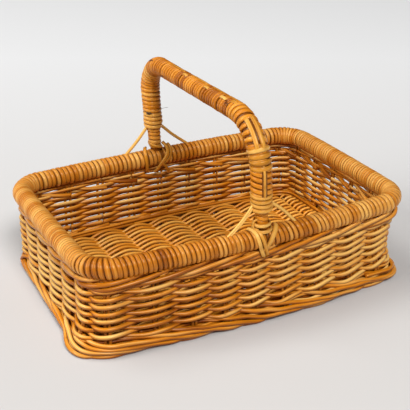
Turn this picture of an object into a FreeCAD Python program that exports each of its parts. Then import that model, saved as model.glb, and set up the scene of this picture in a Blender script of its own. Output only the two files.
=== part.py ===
"""Rectangular wicker basket with rounded corners, a bound rim and a fixed bow handle.

Units are millimetres and +Z is up. The origin is at the middle of the basket, on the ground.
+X runs along the long sides, and the handle stands over the middle of them, in the YZ plane.
Every rod, stake, stick and strip of binding cane is a solid of its own.
"""
import FreeCAD
import Part
import Sketcher
import math
import os

Vector = FreeCAD.Vector

doc = FreeCAD.newDocument("wicker_basket")

# Driving dimensions
sheet = doc.addObject("Spreadsheet::Sheet", "sizes")
DRIVING_SIZES = {
    # Plan of the wall line, which runs through the middle of the stakes
    "basket_half_length": 200,
    "basket_half_width": 135,
    "long_side_radius": 1770,
    "short_side_radius": 4000,
    "corner_radius": 36,
    # Side weave
    "stake_places": 30,
    "stake_diameter": 4,
    "stake_gap": 0.6,
    "weaver_diameter": 4.8,
    "rod_clearance": 0.3,
    "round_count": 9,
    "stroke_reach": 3,
    "foot_flat": 0.5,
    # Base
    "base_stick_diameter": 7,
    "base_weaver_diameter": 4,
    "base_ground_gap": 0.5,
    "base_end_margin": 4,
    # Rim and binding cane
    "rim_core_diameter": 13,
    "binding_diameter": 4.6,
    "binding_gap": 0.75,
    # Handle
    "handle_core_diameter": 13,
    "handle_height": 229.5,
    "handle_front_bend": 56,
    "handle_back_bend": 38,
    "brace_diameter": 4,
    "brace_reach": 52,
    "brace_rise": 50,
    "nail_diameter": 2.5,
    "nail_head_diameter": 6,
    "nail_head_thickness": 1.5,
    "nail_bite": 22,
    "nail_clearance": 0.05,
}
for row, (alias, value) in enumerate(DRIVING_SIZES.items(), start=1):
    cell = "A%d" % row
    sheet.set(cell, str(value))
    sheet.setAlias(cell, alias)
doc.recompute()


def size(expression):
    """Value of an expression on the sheet's cells."""
    return float(sheet.evalExpression(expression))


# Derived sizes, written once as expressions on the sheet
ROW_PITCH = "(sizes.weaver_diameter + sizes.rod_clearance)"
FOOT_HEIGHT = "(sizes.weaver_diameter / 2 - sizes.foot_flat)"
BORDER_LOW = "(%s + %s)" % (FOOT_HEIGHT, ROW_PITCH)
BORDER_HIGH = "(%s + sizes.stroke_reach * %s)" % (BORDER_LOW, ROW_PITCH)
WALE_LOW = "(%s + (sizes.round_count + 1) * %s)" % (BORDER_HIGH, ROW_PITCH)
WALE_HIGH = "(%s + sizes.stroke_reach * %s)" % (WALE_LOW, ROW_PITCH)
STAKE_TOP = "(%s + sizes.weaver_diameter / 2)" % WALE_HIGH
RIM_OUTER_RADIUS = "(sizes.rim_core_diameter / 2 + sizes.rod_clearance + sizes.binding_diameter)"
RIM_HEIGHT = "(%s + sizes.rod_clearance + %s)" % (STAKE_TOP, RIM_OUTER_RADIUS)
BOW_OUTER_RADIUS = "(sizes.handle_core_diameter / 2 + sizes.rod_clearance + sizes.binding_diameter)"
BASE_SWING = "(sizes.base_stick_diameter / 2 + sizes.rod_clearance + sizes.base_weaver_diameter / 2)"
BASE_HEIGHT = "(sizes.base_ground_gap + sizes.base_weaver_diameter / 2 + %s)" % BASE_SWING

half_length = size("sizes.basket_half_length")
half_width = size("sizes.basket_half_width")
long_radius = size("sizes.long_side_radius")
short_radius = size("sizes.short_side_radius")
corner_radius = size("sizes.corner_radius")
clearance = size("sizes.rod_clearance")
weaver = size("sizes.weaver_diameter")
stake = size("sizes.stake_diameter")
binding = size("sizes.binding_diameter")
binding_gap = size("sizes.binding_gap")
row_pitch = size(ROW_PITCH)
rim_height = size(RIM_HEIGHT)
places = int(round(size("sizes.stake_places")))
round_count = int(round(size("sizes.round_count")))
reach = int(round(size("sizes.stroke_reach")))
most_turns = 24
# A stroke that turns more than this from end to end counts as one round a corner
corner_turn = math.pi / 12


# The wall line: nine tangent arcs, anticlockwise from the middle of the front
def corner_centre():
    """Centre of the back right corner arc, which touches the arcs of both sides from within."""
    long_centre = Vector(0, half_width - long_radius)
    short_centre = Vector(half_length - short_radius, 0)
    from_long = long_radius - corner_radius
    from_short = short_radius - corner_radius
    between = short_centre - long_centre
    spread = between.Length
    along = (from_long ** 2 - from_short ** 2 + spread ** 2) / (2 * spread)
    aside = math.sqrt(from_long ** 2 - along ** 2)
    unit = between / spread
    return long_centre + unit * along + Vector(unit.y, -unit.x) * aside


corner = corner_centre()
long_angle = math.atan2(corner.x, corner.y + long_radius - half_width)
short_angle = math.atan2(corner.y, corner.x + short_radius - half_length)
front_middle = -math.pi / 2
wall_arcs = []
for centre, radius, start, end in (
    (Vector(0, long_radius - half_width), long_radius, front_middle, front_middle + long_angle),
    (Vector(corner.x, -corner.y), corner_radius, front_middle + long_angle, -short_angle),
    (Vector(half_length - short_radius, 0), short_radius, -short_angle, short_angle),
    (Vector(corner.x, corner.y), corner_radius, short_angle, math.pi / 2 - long_angle),
    (Vector(0, half_width - long_radius), long_radius, math.pi / 2 - long_angle, math.pi / 2 + long_angle),
    (Vector(-corner.x, corner.y), corner_radius, math.pi / 2 + long_angle, math.pi - short_angle),
    (Vector(short_radius - half_length, 0), short_radius, math.pi - short_angle, math.pi + short_angle),
    (Vector(-corner.x, -corner.y), corner_radius, math.pi + short_angle, 1.5 * math.pi - long_angle),
    (Vector(0, long_radius - half_width), long_radius, 1.5 * math.pi - long_angle, 1.5 * math.pi),
):
    wall_arcs.append((centre, radius, start, (end - start) * radius))
wall_length = sum(length for _, _, _, length in wall_arcs)
place_spacing = wall_length / places


def part_at(parts, distance):
    """The part of a line that a distance along it falls in, and the distance within that part."""
    for part in parts[:-1]:
        if distance <= part[-1]:
            return part, distance
        distance -= part[-1]
    return parts[-1], distance


def wall_at(distance):
    """Point, direction, outward normal and bend of the wall line at a distance along it."""
    (centre, radius, start, _), left = part_at(wall_arcs, distance % wall_length)
    angle = start + left / radius
    outward = Vector(math.cos(angle), math.sin(angle), 0)
    along = Vector(-math.sin(angle), math.cos(angle), 0)
    return centre + outward * radius, along, outward, 1 / radius


def half_width_at(x, inset):
    """Distance from the X axis to the wall line moved in by inset, at x."""
    x = abs(x)
    if x <= corner.x:
        return half_width - long_radius + math.sqrt((long_radius - inset) ** 2 - x ** 2)
    return corner.y + math.sqrt((corner_radius - inset) ** 2 - (x - corner.x) ** 2)


def half_length_at(y, inset):
    """Distance from the Y axis to the wall line moved in by inset, at y."""
    y = abs(y)
    if y <= corner.y:
        return half_length - short_radius + math.sqrt((short_radius - inset) ** 2 - y ** 2)
    return corner.x + math.sqrt((corner_radius - inset) ** 2 - (y - corner.y) ** 2)


# Rods along tangent arcs
def tangent_arc(start, bend, end):
    """Edge from start to end whose tangents meet at the point bend."""
    first = bend - start
    second = end - bend
    turn = first.getAngle(second)
    if turn < 1e-5:
        return Part.LineSegment(start, end).toShape()
    chord_middle = (start + end) / 2
    rise = math.tan(turn / 4) / math.tan(turn / 2)
    return Part.Arc(start, chord_middle + (bend - chord_middle) * rise, end).toShape()


def biarc(start, start_along, end, end_along):
    """Two tangent arcs from start to end, with the given directions at both ends."""
    chord = end - start
    total = chord.dot(start_along + end_along)
    fold = 2 * (1 - start_along.dot(end_along))
    if fold < 1e-9:
        handle = chord.dot(chord) / (2 * total)
    else:
        handle = (math.sqrt(total ** 2 + fold * chord.dot(chord)) - total) / fold
    first_bend = start + start_along * handle
    second_bend = end - end_along * handle
    joint = (first_bend + second_bend) / 2
    return [tangent_arc(start, first_bend, joint), tangent_arc(joint, second_bend, end)]


def rod_line(stations):
    """Line of tangent arcs through stations, each a point and the direction in which it is passed."""
    edges = []
    for (start, start_along), (end, end_along) in zip(stations, stations[1:]):
        edges.extend(biarc(start, start_along, end, end_along))
    return Part.Wire(edges)


def rod(stations, diameter):
    """Round rod along the line through stations."""
    line = rod_line(stations)
    section = Part.Wire(Part.makeCircle(diameter / 2, *stations[0]))
    solid = line.makePipeShell([section], True, False)
    expected = math.pi * diameter ** 2 / 4 * line.Length
    if abs(solid.Volume - expected) > 0.001 * expected:
        raise ValueError("a rod's volume is not its section times its length")
    return solid


nodes = []


def add_solids(name, solids):
    """One node that holds separate solids worked out above."""
    feature = doc.addObject("Part::Feature", name)
    feature.Shape = Part.makeCompound(solids)
    nodes.append(feature)


def add_group(name, members):
    """One node that groups objects of the document."""
    group = doc.addObject("Part::Compound", name)
    group.Links = members
    nodes.append(group)


# Stakes: a pair of upright rods at each place of the wall line
def make_stakes():
    spread = (stake + size("sizes.stake_gap")) / 2
    sides = {"front": [], "back": [], "left_end": [], "right_end": []}
    for index in range(places):
        point, along, outward, _ = wall_at(index * place_spacing)
        if abs(outward.y) > abs(outward.x):
            side = "back" if outward.y > 0 else "front"
        else:
            side = "right_end" if outward.x > 0 else "left_end"
        for shift in (-spread, spread):
            upright = doc.addObject("Part::Cylinder", "stake")
            upright.setExpression("Radius", "sizes.stake_diameter / 2")
            upright.setExpression("Height", "%s - sizes.base_ground_gap" % STAKE_TOP)
            foot = point + along * shift + Vector(0, 0, size("sizes.base_ground_gap"))
            upright.Placement = FreeCAD.Placement(foot, FreeCAD.Rotation())
            sides[side].append(upright)
    for side, members in sides.items():
        add_group("stakes_" + side, members)


# Side weave: a rod passes each pair of stakes on the outside or on the inside
pair_half_width = stake + size("sizes.stake_gap") / 2
bend_drop = pair_half_width ** 2 * 4 * (stake + weaver) / place_spacing ** 2
weave_swing = (stake + weaver) / 2 + clearance + bend_drop
wall_inset = weave_swing + weaver / 2 + clearance


def weave_station(index, side, height, slope=0):
    """Where a weaver passes stake place index: outside with side 1, inside with side -1."""
    point, along, outward, _ = wall_at(index * place_spacing)
    direction = along + Vector(0, 0, slope)
    return point + outward * side * weave_swing + Vector(0, 0, height), direction.normalize()


def corner_spans():
    """Where each corner arc starts and ends along the wall line."""
    travelled = 0
    spans = []
    for _, radius, _, length in wall_arcs:
        if radius == corner_radius:
            spans.append((travelled, travelled + length))
        travelled += length
    return spans


def round_rods(height, parity):
    """One round of randing: a rod along each side and round each corner, joined behind stakes."""
    inside = [index for index in range(places) if (index + parity) % 2]
    joints = []
    for start, end in corner_spans():
        margin = place_spacing / 2
        joints.append(max(index for index in inside if index * place_spacing <= start + margin))
        joints.append(min(index for index in inside if index * place_spacing >= end - margin))
    rods = []
    for first, last in zip(joints, joints[1:] + [joints[0] + places]):
        stations = []
        for index in range(first, last + 1):
            side = -1 if (index % places + parity) % 2 else 1
            stations.append(weave_station(index, side, height))
        start, start_along = stations[0]
        end, end_along = stations[-1]
        stations[0] = (start + start_along * clearance / 2, start_along)
        stations[-1] = (end - end_along * clearance / 2, end_along)
        rods.append(rod(stations, weaver))
    return rods


def stroke_rods(name, first_height, step):
    """Slanting strokes, one from each place: behind a stake, past the next ones, behind again."""
    groups = {"sides": [], "corners": []}
    slope = step / place_spacing
    for index in range(places):
        stations = []
        for count in range(reach + 1):
            side = -1 if count in (0, reach) else 1
            stations.append(weave_station(index + count, side, first_height + count * step, slope))
        _, first_along = stations[0]
        _, last_along = stations[-1]
        bent = first_along.getAngle(last_along) > corner_turn
        groups["corners" if bent else "sides"].append(rod(stations, weaver))
    for where, rods in groups.items():
        add_solids(name + "_" + where, rods)


def make_weave():
    # The lowest round is the foot: it is cut flat underneath, where the basket stands
    below = Part.makeBox(4 * half_length, 4 * half_width, weaver)
    below.Placement.Base = Vector(-2 * half_length, -2 * half_width, -weaver)
    foot = [foot_rod.cut(below).Solids[0] for foot_rod in round_rods(size(FOOT_HEIGHT), 0)]
    add_solids("foot_round", foot)
    stroke_rods("foot_border", size(BORDER_HIGH), -row_pitch)
    for count in range(1, round_count + 1):
        height = size(BORDER_HIGH) + count * row_pitch
        add_solids("weave_round_%d" % count, round_rods(height, count % 2))
    stroke_rods("top_wale", size(WALE_LOW), row_pitch)


# Base: straight sticks across the width, and rods along the length woven over and under them
def make_base():
    stick_radius = size("sizes.base_stick_diameter") / 2
    weaver_diameter = size("sizes.base_weaver_diameter")
    swing = size(BASE_SWING)
    height = size(BASE_HEIGHT)
    end_margin = size("sizes.base_end_margin")
    end_x = half_length_at(0, wall_inset) - end_margin - stick_radius
    stick_xs = [-end_x, end_x]
    for index in range(-places // 2, places // 2):
        point, _, outward, _ = wall_at(index * place_spacing)
        faces_front = outward.y < -math.cos(corner_turn)
        if faces_front and abs(point.x) + 2 * stick_radius < end_x - 2 * stick_radius:
            stick_xs.append(point.x)
    stick_xs.sort()
    sticks = []
    half_spans = {}
    for x in stick_xs:
        half_spans[x] = half_width_at(abs(x) + stick_radius, wall_inset)
        stick = doc.addObject("Part::Cylinder", "base_stick")
        stick.setExpression("Radius", "sizes.base_stick_diameter / 2")
        stick.Height = 2 * half_spans[x]
        turned = FreeCAD.Rotation(Vector(1, 0, 0), -90)
        stick.Placement = FreeCAD.Placement(Vector(x, -half_spans[x], height), turned)
        sticks.append(stick)
    add_group("base_sticks", sticks)

    edge = half_width_at(corner.x, wall_inset + 2 * clearance) - weaver_diameter / 2
    rows = int(2 * edge / (weaver_diameter + clearance)) + 1
    rods = []
    for row in range(rows):
        y = -edge + 2 * edge * row / (rows - 1)
        tip = half_length_at(abs(y) + weaver_diameter / 2, wall_inset + clearance)
        crossed = [x for x in stick_xs if abs(x) + stick_radius < tip and abs(y) < half_spans[x]]
        stations = []
        for x in crossed:
            over = 1 if (stick_xs.index(x) + row) % 2 else -1
            stations.append((Vector(x, y, height + over * swing), Vector(1, 0, 0)))
        first, along = stations[0]
        last, _ = stations[-1]
        stations.insert(0, (Vector(-tip, first.y, first.z), along))
        stations.append((Vector(tip, last.y, last.z), along))
        rods.append(rod(stations, weaver_diameter))
    add_solids("base_weavers", rods)


# Rim hoop: one bent cane along the wall line, with a hole for each of the handle's nails
def origin_plane(body, role):
    return [plane for plane in body.Origin.OriginFeatures if plane.Role == role][0]


def flat_sketch(body, name, role):
    sketch = body.newObject("Sketcher::SketchObject", name)
    sketch.AttachmentSupport = [(origin_plane(body, role), "")]
    sketch.MapMode = "FlatFace"
    return sketch


def bind(sketch, constraint, expression):
    """Add a constraint whose value follows an expression on the sheet."""
    index = sketch.addConstraint(constraint)
    sketch.setExpression("Constraints[%d]" % index, expression)


def make_rim_hoop():
    body = doc.addObject("PartDesign::Body", "rim_hoop")
    constraint = Sketcher.Constraint
    line = flat_sketch(body, "hoop_line", "XY_Plane")
    line.setExpression("AttachmentOffset.Base.z", RIM_HEIGHT)
    for centre, radius, start, length in wall_arcs:
        circle = Part.Circle(centre, Vector(0, 0, 1), radius)
        line.addGeometry(Part.ArcOfCircle(circle, start, start + length / radius))
    last = len(wall_arcs) - 1
    for index in range(last):
        line.addConstraint(constraint("Tangent", index, 2, index + 1, 1))
    line.addConstraint(constraint("Coincident", last, 2, 0, 1))
    line.addConstraint(constraint("Coincident", last, 3, 0, 3))
    line.addConstraint(constraint("PointOnObject", 0, 1, -2))
    for index in (0, 4):
        line.addConstraint(constraint("PointOnObject", index, 3, -2))
    for index in (2, 6):
        line.addConstraint(constraint("PointOnObject", index, 3, -1))
    bind(line, constraint("Radius", 4, long_radius), "sizes.long_side_radius")
    bind(line, constraint("DistanceY", 4, 3, -1, 1, long_radius - half_width),
         "sizes.long_side_radius - sizes.basket_half_width")
    bind(line, constraint("Radius", 0, long_radius), "sizes.long_side_radius")
    bind(line, constraint("DistanceY", 0, 1, -1, 1, half_width), "sizes.basket_half_width")
    for index in (1, 3, 5, 7):
        bind(line, constraint("Radius", index, corner_radius), "sizes.corner_radius")
    for index, ends in ((2, (2, 3, -1, 1)), (6, (-1, 1, 6, 3))):
        bind(line, constraint("Radius", index, short_radius), "sizes.short_side_radius")
        bind(line, constraint("DistanceX", *ends, short_radius - half_length),
             "sizes.short_side_radius - sizes.basket_half_length")
    section = flat_sketch(body, "hoop_section", "YZ_Plane")
    section.addGeometry(Part.Circle(Vector(-half_width, rim_height), Vector(0, 0, 1), 1))
    bind(section, constraint("Diameter", 0, 2), "sizes.rim_core_diameter")
    bind(section, constraint("DistanceX", 0, 3, -1, 1, half_width), "sizes.basket_half_width")
    bind(section, constraint("DistanceY", -1, 1, 0, 3, rim_height), RIM_HEIGHT)
    doc.recompute()
    hoop = body.newObject("PartDesign::AdditivePipe", "hoop_sweep")
    hoop.Profile = section
    hoop.Spine = line
    doc.recompute()
    drill_for_nails(body)
    nodes.append(body)


def drill_for_nails(body):
    """Upright holes over the middle of both long sides, through everything they meet."""
    holes = flat_sketch(body, body.Name + "_nail_holes", "XY_Plane")
    for index, side in enumerate((-1, 1)):
        holes.addGeometry(Part.Circle(Vector(0, side * half_width), Vector(0, 0, 1), 1))
        bind(holes, Sketcher.Constraint("Diameter", index, 2),
             "sizes.nail_diameter + 2 * sizes.nail_clearance")
        holes.addConstraint(Sketcher.Constraint("PointOnObject", index, 3, -2))
        ends = (index, 3, -1, 1) if side < 0 else (-1, 1, index, 3)
        bind(holes, Sketcher.Constraint("DistanceY", *ends, half_width), "sizes.basket_half_width")
    doc.recompute()
    before = body.Shape.Volume
    pocket = body.newObject("PartDesign::Pocket", body.Name + "_nail_pocket")
    pocket.Profile = holes
    pocket.Reversed = True
    pocket.setExpression("Length", "%s + sizes.rim_core_diameter / 2 + sizes.nail_bite" % RIM_HEIGHT)
    doc.recompute()
    if body.Shape.Volume >= before:
        raise ValueError("the nail holes of %s cut nothing" % body.Name)


# Handle bow: one bent cane that stands on the hoop in two saddles, bent wider at the front than at the back
bow_top = size("sizes.handle_height")
front_bend = size("sizes.handle_front_bend")
back_bend = size("sizes.handle_back_bend")


def make_handle_bow():
    body = doc.addObject("PartDesign::Body", "handle_bow")
    line = flat_sketch(body, "bow_line", "YZ_Plane")
    up = Vector(0, 0, 1)
    front = front_bend - half_width
    back = half_width - back_bend
    front_circle = Part.Circle(Vector(front, bow_top - front_bend), up, front_bend)
    back_circle = Part.Circle(Vector(back, bow_top - back_bend), up, back_bend)
    for geometry in (
        Part.LineSegment(Vector(-half_width, rim_height), Vector(-half_width, bow_top - front_bend)),
        Part.ArcOfCircle(front_circle, math.pi / 2, math.pi),
        Part.LineSegment(Vector(front, bow_top), Vector(back, bow_top)),
        Part.ArcOfCircle(back_circle, 0, math.pi / 2),
        Part.LineSegment(Vector(half_width, bow_top - back_bend), Vector(half_width, rim_height)),
    ):
        line.addGeometry(geometry)
    constraint = Sketcher.Constraint
    for ends in ((0, 2, 1, 2), (1, 1, 2, 1), (2, 2, 3, 2), (3, 1, 4, 1)):
        line.addConstraint(constraint("Tangent", *ends))
    line.addConstraint(constraint("Vertical", 0))
    line.addConstraint(constraint("Vertical", 4))
    line.addConstraint(constraint("Horizontal", 2))
    line.addConstraint(constraint("Symmetric", 0, 1, 4, 2, -2))
    bind(line, constraint("Radius", 1, front_bend), "sizes.handle_front_bend")
    bind(line, constraint("Radius", 3, back_bend), "sizes.handle_back_bend")
    bind(line, constraint("DistanceX", 0, 1, 4, 2, 2 * half_width), "2 * sizes.basket_half_width")
    bind(line, constraint("DistanceY", -1, 1, 2, 1, bow_top), "sizes.handle_height")
    bind(line, constraint("DistanceY", -1, 1, 0, 1, rim_height), RIM_HEIGHT)
    section = flat_sketch(body, "bow_section", "XY_Plane")
    section.setExpression("AttachmentOffset.Base.z", RIM_HEIGHT)
    section.addGeometry(Part.Circle(Vector(0, -half_width), up, 1))
    bind(section, constraint("Diameter", 0, 2), "sizes.handle_core_diameter")
    section.addConstraint(constraint("PointOnObject", 0, 3, -2))
    bind(section, constraint("DistanceY", 0, 3, -1, 1, half_width), "sizes.basket_half_width")
    doc.recompute()
    bow = body.newObject("PartDesign::AdditivePipe", "bow_sweep")
    bow.Profile = section
    bow.Spine = line
    doc.recompute()
    before = body.Shape.Volume
    saddles = flat_sketch(body, "bow_saddles", "YZ_Plane")
    for index, side in enumerate((-1, 1)):
        saddles.addGeometry(Part.Circle(Vector(side * half_width, rim_height), up, 1))
        bind(saddles, constraint("Diameter", index, 2), "sizes.rim_core_diameter + 2 * sizes.rod_clearance")
        ends = (index, 3, -1, 1) if side < 0 else (-1, 1, index, 3)
        bind(saddles, constraint("DistanceX", *ends, half_width), "sizes.basket_half_width")
        bind(saddles, constraint("DistanceY", -1, 1, index, 3, rim_height), RIM_HEIGHT)
    doc.recompute()
    pocket = body.newObject("PartDesign::Pocket", "bow_saddle_pocket")
    pocket.Profile = saddles
    pocket.Type = "ThroughAll"
    pocket.Midplane = True
    doc.recompute()
    if body.Shape.Volume >= before:
        raise ValueError("the saddles of the bow cut nothing")
    drill_for_nails(body)
    nodes.append(body)


# Nails: one from under the hoop into each foot of the bow
def mirrored(source, name, normal):
    copy = doc.addObject("Part::Mirroring", name)
    copy.Source = source
    copy.Normal = normal
    return copy


def make_nails():
    underside = "%s - sizes.rim_core_diameter / 2" % RIM_HEIGHT
    shank = doc.addObject("Part::Cylinder", "nail_shank")
    shank.setExpression("Radius", "sizes.nail_diameter / 2")
    shank.setExpression("Height", "sizes.rim_core_diameter + sizes.nail_bite")
    shank.setExpression("Placement.Base.y", "-sizes.basket_half_width")
    shank.setExpression("Placement.Base.z", underside)
    head = doc.addObject("Part::Cylinder", "nail_head")
    head.setExpression("Radius", "sizes.nail_head_diameter / 2")
    head.setExpression("Height", "sizes.nail_head_thickness")
    head.setExpression("Placement.Base.y", "-sizes.basket_half_width")
    head.setExpression("Placement.Base.z", "%s - sizes.nail_head_thickness" % underside)
    nail = doc.addObject("Part::Fuse", "front_nail")
    nail.Base = shank
    nail.Tool = head
    add_group("handle_nails", [nail, mirrored(nail, "back_nail", Vector(0, 1, 0))])


# Braces: four thin canes from the bow's legs down to the rim, cut flush on the binding of both
def make_braces():
    cane = doc.addObject("Part::Cylinder", "brace_cane")
    cane.setExpression("Radius", "sizes.brace_diameter / 2")
    cane.setExpression("Height", "sqrt(sizes.brace_reach ^ 2 + sizes.brace_rise ^ 2)")
    cane.setExpression("Placement.Rotation.Axis.x", "0")
    cane.setExpression("Placement.Rotation.Axis.y", "1")
    cane.setExpression("Placement.Rotation.Axis.z", "0")
    cane.setExpression("Placement.Rotation.Angle", "-atan2(sizes.brace_reach; sizes.brace_rise)")
    cane.setExpression("Placement.Base.x", "sizes.brace_reach")
    cane.setExpression("Placement.Base.y", "-sizes.basket_half_width")
    cane.setExpression("Placement.Base.z", RIM_HEIGHT)
    room = doc.addObject("Part::Box", "brace_room")
    room.setExpression("Length", "sizes.brace_reach")
    room.setExpression("Width", "2 * sizes.brace_diameter")
    room.setExpression("Height", "sizes.brace_rise")
    room.setExpression("Placement.Base.x", "%s + sizes.rod_clearance" % BOW_OUTER_RADIUS)
    room.setExpression("Placement.Base.y", "-sizes.basket_half_width - sizes.brace_diameter")
    room.setExpression("Placement.Base.z",
                       "%s + %s + sizes.rod_clearance" % (RIM_HEIGHT, RIM_OUTER_RADIUS))
    front_right = doc.addObject("Part::Common", "brace_front_right")
    front_right.Base = cane
    front_right.Tool = room
    front_left = mirrored(front_right, "brace_front_left", Vector(1, 0, 0))
    back_right = mirrored(front_right, "brace_back_right", Vector(0, 1, 0))
    back_left = mirrored(front_left, "brace_back_left", Vector(0, 1, 0))
    add_group("handle_braces", [front_right, front_left, back_right, back_left])


# Binding: strips of cane wound side by side round the hoop and the bow
bow_parts = (
    (Vector(0, -half_width, rim_height), math.pi / 2, 0, bow_top - front_bend - rim_height),
    (Vector(0, -half_width, bow_top - front_bend), math.pi / 2, 1 / front_bend, front_bend * math.pi / 2),
    (Vector(0, front_bend - half_width, bow_top), 0, 0, 2 * half_width - front_bend - back_bend),
    (Vector(0, half_width - back_bend, bow_top), 0, 1 / back_bend, back_bend * math.pi / 2),
    (Vector(0, half_width, bow_top - back_bend), -math.pi / 2, 0, bow_top - back_bend - rim_height),
)
bow_length = sum(length for _, _, _, length in bow_parts)


def bow_at(distance):
    """Point, direction, outward normal and bend of the bow at a distance from its front foot."""
    (start, heading, bent, _), left = part_at(bow_parts, distance)
    turned = heading - left * bent
    along = Vector(0, math.cos(turned), math.sin(turned))
    outward = Vector(0, -math.sin(turned), math.cos(turned))
    if bent:
        first_outward = Vector(0, -math.sin(heading), math.cos(heading))
        return start + (outward - first_outward) / bent, along, outward, bent
    return start + along * left, along, outward, bent


def turn_table(axis_at, start, end, wind_radius):
    """Distances along the axis and the turns wound up to each, further apart in and beside a bend."""
    steps = max(2, int((end - start) / binding))
    step = (end - start) / steps
    table = [(start, 0)]
    turns = 0
    for count in range(steps):
        middle = start + (count + 0.5) * step
        bent = max(axis_at(middle + shift)[3] for shift in (-binding, 0, binding))
        turns += step * (1 - bent * wind_radius) / (binding + binding_gap)
        table.append((start + (count + 1) * step, turns))
    return table


def distance_at(table, turns):
    """Distance along the axis at a number of turns, and the distance per turn there."""
    for (start, first), (end, last) in zip(table, table[1:]):
        if turns <= last:
            break
    rate = (end - start) / (last - first)
    return start + (turns - first) * rate, rate


def least_gap(stations, wind_radius):
    """Least gap between neighbouring turns of a strip, measured on points of its line."""
    spacing = 1
    points = rod_line(stations).discretize(Distance=spacing)
    half_turn = int(math.pi * wind_radius / spacing)
    least = min((point - other).Length
                for index, point in enumerate(points)
                for other in points[index + half_turn:index + 4 * half_turn])
    return least - binding


def binding_strips(axis_at, across, core_diameter, start, end):
    """Strips that wind round the axis from start to end, each of them 24 turns at most.

    A strip begins and ends straight, side by side with the core on the face away from across,
    and meets the next strip there end to end.
    """
    wind_radius = core_diameter / 2 + clearance + binding / 2
    table = turn_table(axis_at, start, end, wind_radius)
    wound = table[-1][1]
    strips = math.ceil(wound / most_turns)
    turns = int(wound / strips)
    stretch = wound / (strips * turns)
    lead = 3 / 8
    steps = 2 * turns - 1

    def wound_station(turn):
        distance, rate = distance_at(table, turn * stretch)
        point, along, outward, bent = axis_at(distance)
        angle = 2 * math.pi * (turn - 1 / 4)
        radial = outward * math.cos(angle) + across * math.sin(angle)
        around = across * math.cos(angle) - outward * math.sin(angle)
        advance = rate * stretch / (2 * math.pi) * (1 + wind_radius * math.cos(angle) * bent)
        direction = around * wind_radius + along * advance
        return point + radial * wind_radius, direction.normalize()

    def end_station(turn, shift):
        distance, _ = distance_at(table, turn * stretch)
        point, _, outward, _ = axis_at(distance)
        return point - across * wind_radius + outward * shift, outward

    solids = []
    gaps = []
    for strip in range(strips):
        first = strip * turns
        last = first + turns
        stations = [end_station(first, clearance / 2), end_station(first, clearance / 2 + binding)]
        for count in range(steps + 1):
            stations.append(wound_station(first + lead + (turns - 2 * lead) * count / steps))
        stations.append(end_station(last, -clearance / 2 - binding))
        stations.append(end_station(last, -clearance / 2))
        solids.append(rod(stations, binding))
        gaps.append(least_gap(stations, wind_radius))
    return solids, min(gaps)


def make_bindings():
    upward = Vector(0, 0, 1)
    sideways = Vector(1, 0, 0)
    rim_core = size("sizes.rim_core_diameter")
    bow_core = size("sizes.handle_core_diameter")
    room = clearance + binding / 2

    def rim_at(distance):
        point, along, outward, bent = wall_at(distance)
        return point + upward * rim_height, along, outward, bent

    # The rim's binding parts where the bow stands on the hoop
    beside_bow = bow_core / 2 + room
    middle = wall_length / 2
    add_binding("rim_binding_right", rim_at, upward, rim_core, beside_bow, middle - beside_bow)
    add_binding("rim_binding_left", rim_at, upward, rim_core, middle + beside_bow, wall_length - beside_bow)
    above_rim = size(RIM_OUTER_RADIUS) + room
    add_binding("handle_binding", bow_at, sideways, bow_core, above_rim, bow_length - above_rim)


def add_binding(name, axis_at, across, core_diameter, start, end):
    strips, gap = binding_strips(axis_at, across, core_diameter, start, end)
    print("%s: %d strips, least gap between turns %.2f mm" % (name, len(strips), gap))
    add_solids(name, strips)


make_base()
make_stakes()
make_weave()
make_rim_hoop()
make_bindings()
make_handle_bow()
make_nails()
make_braces()
doc.recompute()

# Checks and export
for item in doc.Objects:
    if "Invalid" in item.State or "Error" in item.State:
        raise RuntimeError("%s did not recompute" % item.Label)
for node in nodes:
    if node.Shape.isNull() or not node.Shape.isValid():
        raise RuntimeError("%s has no valid shape" % node.Label)
os.makedirs("parts", exist_ok=True)
for node in nodes:
    node.Shape.exportStep("parts/%s.step" % node.Label)
    print("%s: %d solids" % (node.Label, len(node.Shape.Solids)))
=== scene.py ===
"""Wicker basket with a bound rim and a fixed bow handle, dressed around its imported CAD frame."""

import bpy
import numpy as np
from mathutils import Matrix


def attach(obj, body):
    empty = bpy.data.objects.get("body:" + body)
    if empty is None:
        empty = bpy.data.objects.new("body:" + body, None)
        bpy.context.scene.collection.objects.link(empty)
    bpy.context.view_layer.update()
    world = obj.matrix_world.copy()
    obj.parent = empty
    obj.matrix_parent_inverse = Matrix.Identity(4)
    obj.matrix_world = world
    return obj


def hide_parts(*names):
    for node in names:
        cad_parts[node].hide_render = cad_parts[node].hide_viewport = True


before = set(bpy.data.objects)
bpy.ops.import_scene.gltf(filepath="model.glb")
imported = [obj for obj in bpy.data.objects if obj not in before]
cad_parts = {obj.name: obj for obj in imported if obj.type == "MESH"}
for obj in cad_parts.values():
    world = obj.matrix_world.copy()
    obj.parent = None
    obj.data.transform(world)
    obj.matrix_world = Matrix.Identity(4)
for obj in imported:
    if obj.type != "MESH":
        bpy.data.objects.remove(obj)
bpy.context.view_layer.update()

# Base. Eleven thick peeled sticks lie across the width, and 55 thin rods are woven over and under
# them along the length. The rods bow out with the long sides, so that they fill the base up to the foot,
# and two rounds of rods along its edge close it against the wall.
MM = 0.001
rng = np.random.default_rng(11)
half_length, half_width = 200.0, 135.0
long_side_radius, short_side_radius, wall_corner = 1770.0, 4000.0, 27.0
side_x, side_y = half_length - short_side_radius, half_width - long_side_radius
quarter = np.pi / 2
stake_places = 30
wall_inset = 7.8
stick_radius, stick_height, stick_margin = 3.5, 8.3, 4.0
base_rod_radius, base_swing, base_rows, row_points = 2.05, 5.7, 55, 170
base_half_span, row_bowing, row_margin = 117.0, 0.062, 0.3
edge_rods, edge_inset, edge_heights = 8, 5.5, (12.2, 16.3)


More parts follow.
